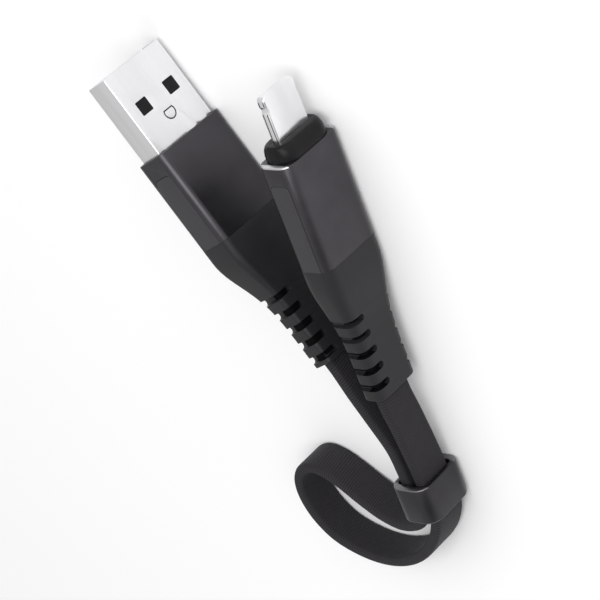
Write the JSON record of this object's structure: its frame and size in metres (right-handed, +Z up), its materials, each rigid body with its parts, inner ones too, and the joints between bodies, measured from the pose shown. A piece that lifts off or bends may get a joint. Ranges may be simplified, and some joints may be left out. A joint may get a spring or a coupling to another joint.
{
  "type": "charging cable",
  "caption": "Short flat woven charging cable with a USB-A plug and a slim tab plug, folded into a loop and held by a sliding keeper ring.",
  "frame": {"origin": "below the middle of the box that the two plugs fill, on the surface that the cable lies on", "axes": "+X is the way the USB plug points, +Z is up along the plugs' width, the cable lies on its edge"},
  "size_m": [0.0871, 0.0577, 0.0135],
  "materials": {
    "bright_steel": "nickel-plated, satin",
    "gold_contact": "gold-plated",
    "dark_mould": "moulded",
    "grey_anodised": "dark grey anodised, satin",
    "grey_pad": "dark grey, matt",
    "black_rubber": "soft matt",
    "wire_set": "insulated conductor",
    "black_insulator": "moulded, satin",
    "green_board": "coated laminate",
    "woven_black": "fine twill weave",
    "red_wire": "insulation",
    "grey_wire": "insulation",
    "green_wire": "insulation",
    "white_wire": "insulation"
  },
  "bodies": {
    "usb_plug": {"usb_shell": "bright_steel", "usb_tongue": "black_insulator", "usb_power_contacts": "gold_contact", "usb_data_contacts": "gold_contact", "usb_inner_mould": "dark_mould", "usb_sleeve": "grey_anodised", "usb_side_pads": "grey_pad", "usb_boot": "black_rubber", "usb_cord_anchor": "black_rubber", "usb_wire_tails": "wire_set"},
    "cord": {"ribbon_cover": "woven_black", "ribbon_jacket": "black_rubber", "core_supply": "red_wire", "core_ground": "grey_wire", "core_data_plus": "green_wire", "core_data_minus": "white_wire"},
    "ring": {"keeper_ring": "grey_anodised"},
    "tab_plug": {"tab_frame": "bright_steel", "tab_insulator": "black_insulator", "tab_contacts": "gold_contact", "tab_board": "green_board", "tab_chip": "black_insulator", "tab_inner_mould": "dark_mould", "tab_collar": "black_insulator", "tab_sleeve": "grey_anodised", "tab_side_pads": "grey_pad", "tab_boot": "black_rubber", "tab_cord_anchor": "black_rubber", "tab_wire_tails": "wire_set"}
  },
  "joints": [
    {"name": "usb_swing", "type": "hinge", "parent": "usb_plug", "child": "cord", "pos_m": [-0.02007, 0.01069, 0.00675], "axis": [0, 0, 1], "range_deg": [-18, 8]},
    {"name": "tab_swing", "type": "hinge", "parent": "cord", "child": "tab_plug", "pos_m": [-0.02817, 0.00609, 0.006], "axis": [0, 0, 1], "range_deg": [-18, 8]},
    {"name": "ring_slide", "type": "slide", "parent": "cord", "child": "ring", "axis": [0.9162, -0.4008, 0], "range_m": [0, 0.005]}
  ]
}
